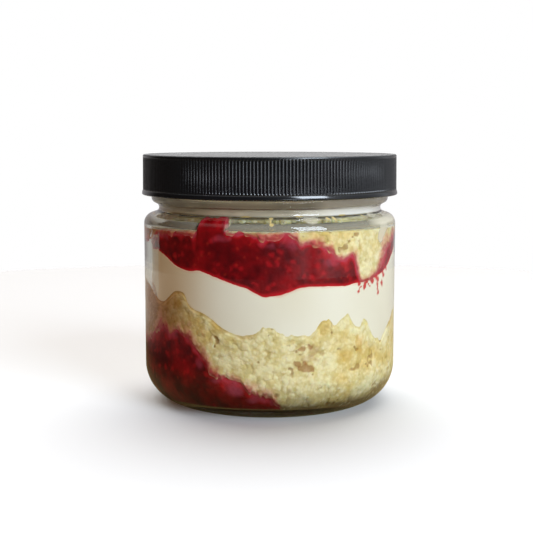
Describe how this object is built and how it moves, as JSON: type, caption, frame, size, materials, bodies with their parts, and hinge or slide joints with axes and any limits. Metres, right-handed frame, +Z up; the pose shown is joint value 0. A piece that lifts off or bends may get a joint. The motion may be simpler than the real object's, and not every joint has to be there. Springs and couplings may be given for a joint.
{
  "type": "layered dessert jar",
  "caption": "Squat straight-sided glass jar with a ribbed black screw cap, filled with layers of crumbled sponge cake, cream and crushed raspberry.",
  "frame": {"origin": "centre of the flat foot ring that the jar stands on", "axes": "+Z up along the jar's axis, -Y towards the side that the picture shows, +X to that side's right"},
  "size_m": [0.0902, 0.0902, 0.087],
  "materials": {
    "glass": "clear, smooth, faintly green where thick",
    "cap_plastic": "satin black, moulded",
    "raspberry": "wet crushed fruit with seeds",
    "cake": "moist open crumb",
    "cream": "smooth whipped cream"
  },
  "bodies": {
    "root": {"glass_jar": "glass", "cap": "cap_plastic", "raspberry_lower": "raspberry", "cake_lower": "cake", "cream": "cream", "raspberry_upper": "raspberry", "cake_upper": "cake"}
  },
  "joints": []
}
